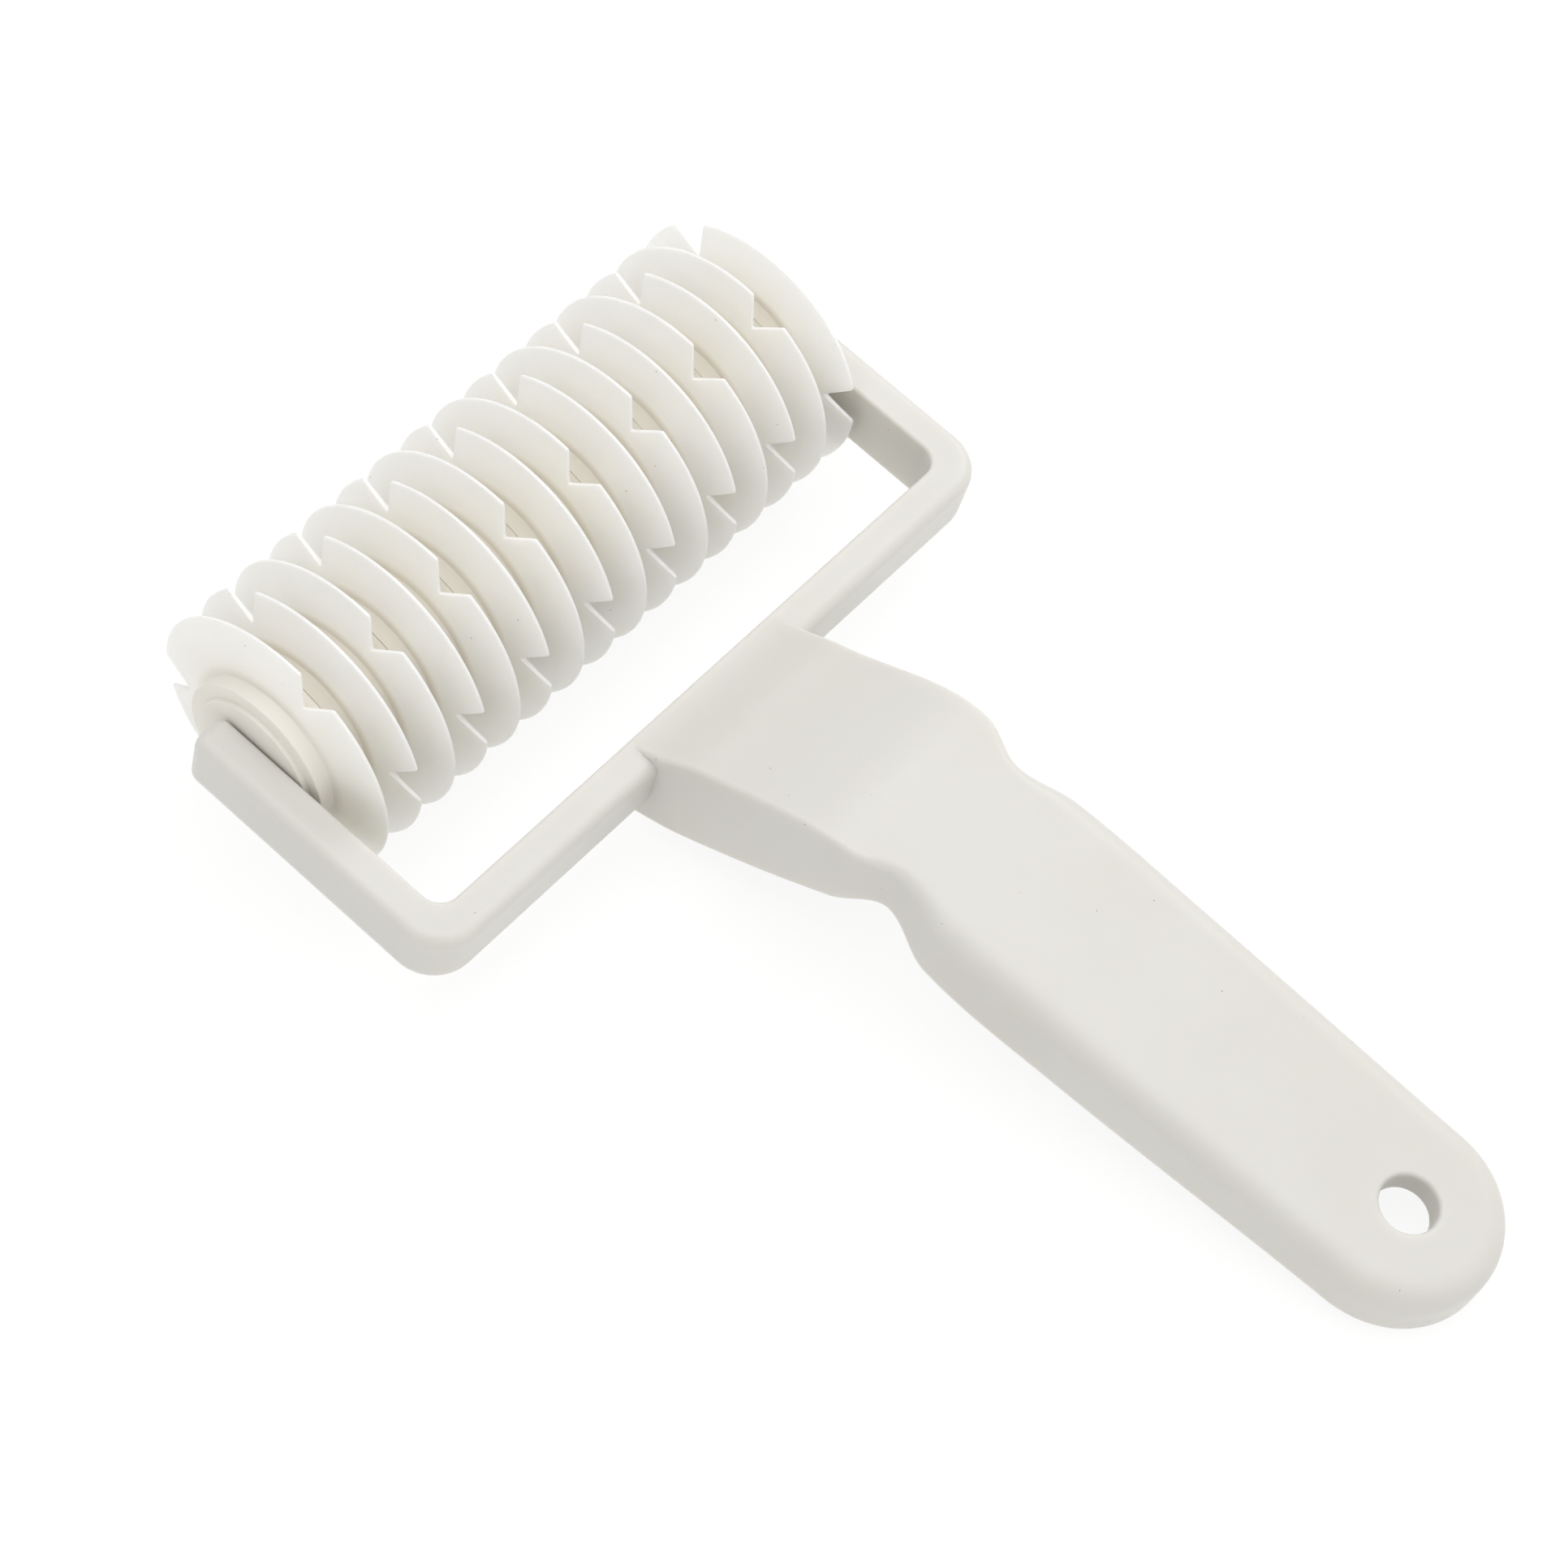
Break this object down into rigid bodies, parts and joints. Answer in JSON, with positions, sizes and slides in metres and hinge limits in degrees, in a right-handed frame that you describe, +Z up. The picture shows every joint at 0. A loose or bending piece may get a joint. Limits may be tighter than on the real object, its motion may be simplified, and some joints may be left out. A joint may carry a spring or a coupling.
{
  "type": "lattice roller cutter",
  "caption": "Hand-held pastry lattice cutter: a roller of notched discs on a keyed axle turns freely in a U-shaped yoke moulded in one with a cranked handle that has finger scallops and a hang hole.",
  "frame": {"origin": "centre of the box's bottom face, on the table that the tool lies on", "axes": "+X along the roller, +Y from the handle's end to the roller, +Z up from the table; the tool lies at rest on its discs and on the end of its handle"},
  "size_m": [0.1208, 0.1952, 0.0426],
  "materials": {
    "frame_plastic": "ivory white, satin as moulded",
    "disc_plastic": "ivory white, satin as moulded",
    "axle_plastic": "ivory white, satin as moulded"
  },
  "bodies": {
    "frame": {"handle_frame": "frame_plastic"},
    "roller": {"axle": "axle_plastic", "cutting_disc_01": "disc_plastic", "cutting_disc_02": "disc_plastic", "cutting_disc_03": "disc_plastic", "cutting_disc_04": "disc_plastic", "cutting_disc_05": "disc_plastic", "cutting_disc_06": "disc_plastic", "cutting_disc_07": "disc_plastic", "cutting_disc_08": "disc_plastic", "cutting_disc_09": "disc_plastic", "cutting_disc_10": "disc_plastic", "cutting_disc_11": "disc_plastic", "cutting_disc_12": "disc_plastic", "cutting_disc_13": "disc_plastic", "cutting_disc_14": "disc_plastic", "cutting_disc_15": "disc_plastic", "cutting_disc_16": "disc_plastic"}
  },
  "joints": [
    {"name": "roller_spin", "type": "hinge", "parent": "frame", "child": "roller", "pos_m": [0, 0.07638, 0.0213], "axis": [1, 0, 0], "continuous": true}
  ]
}
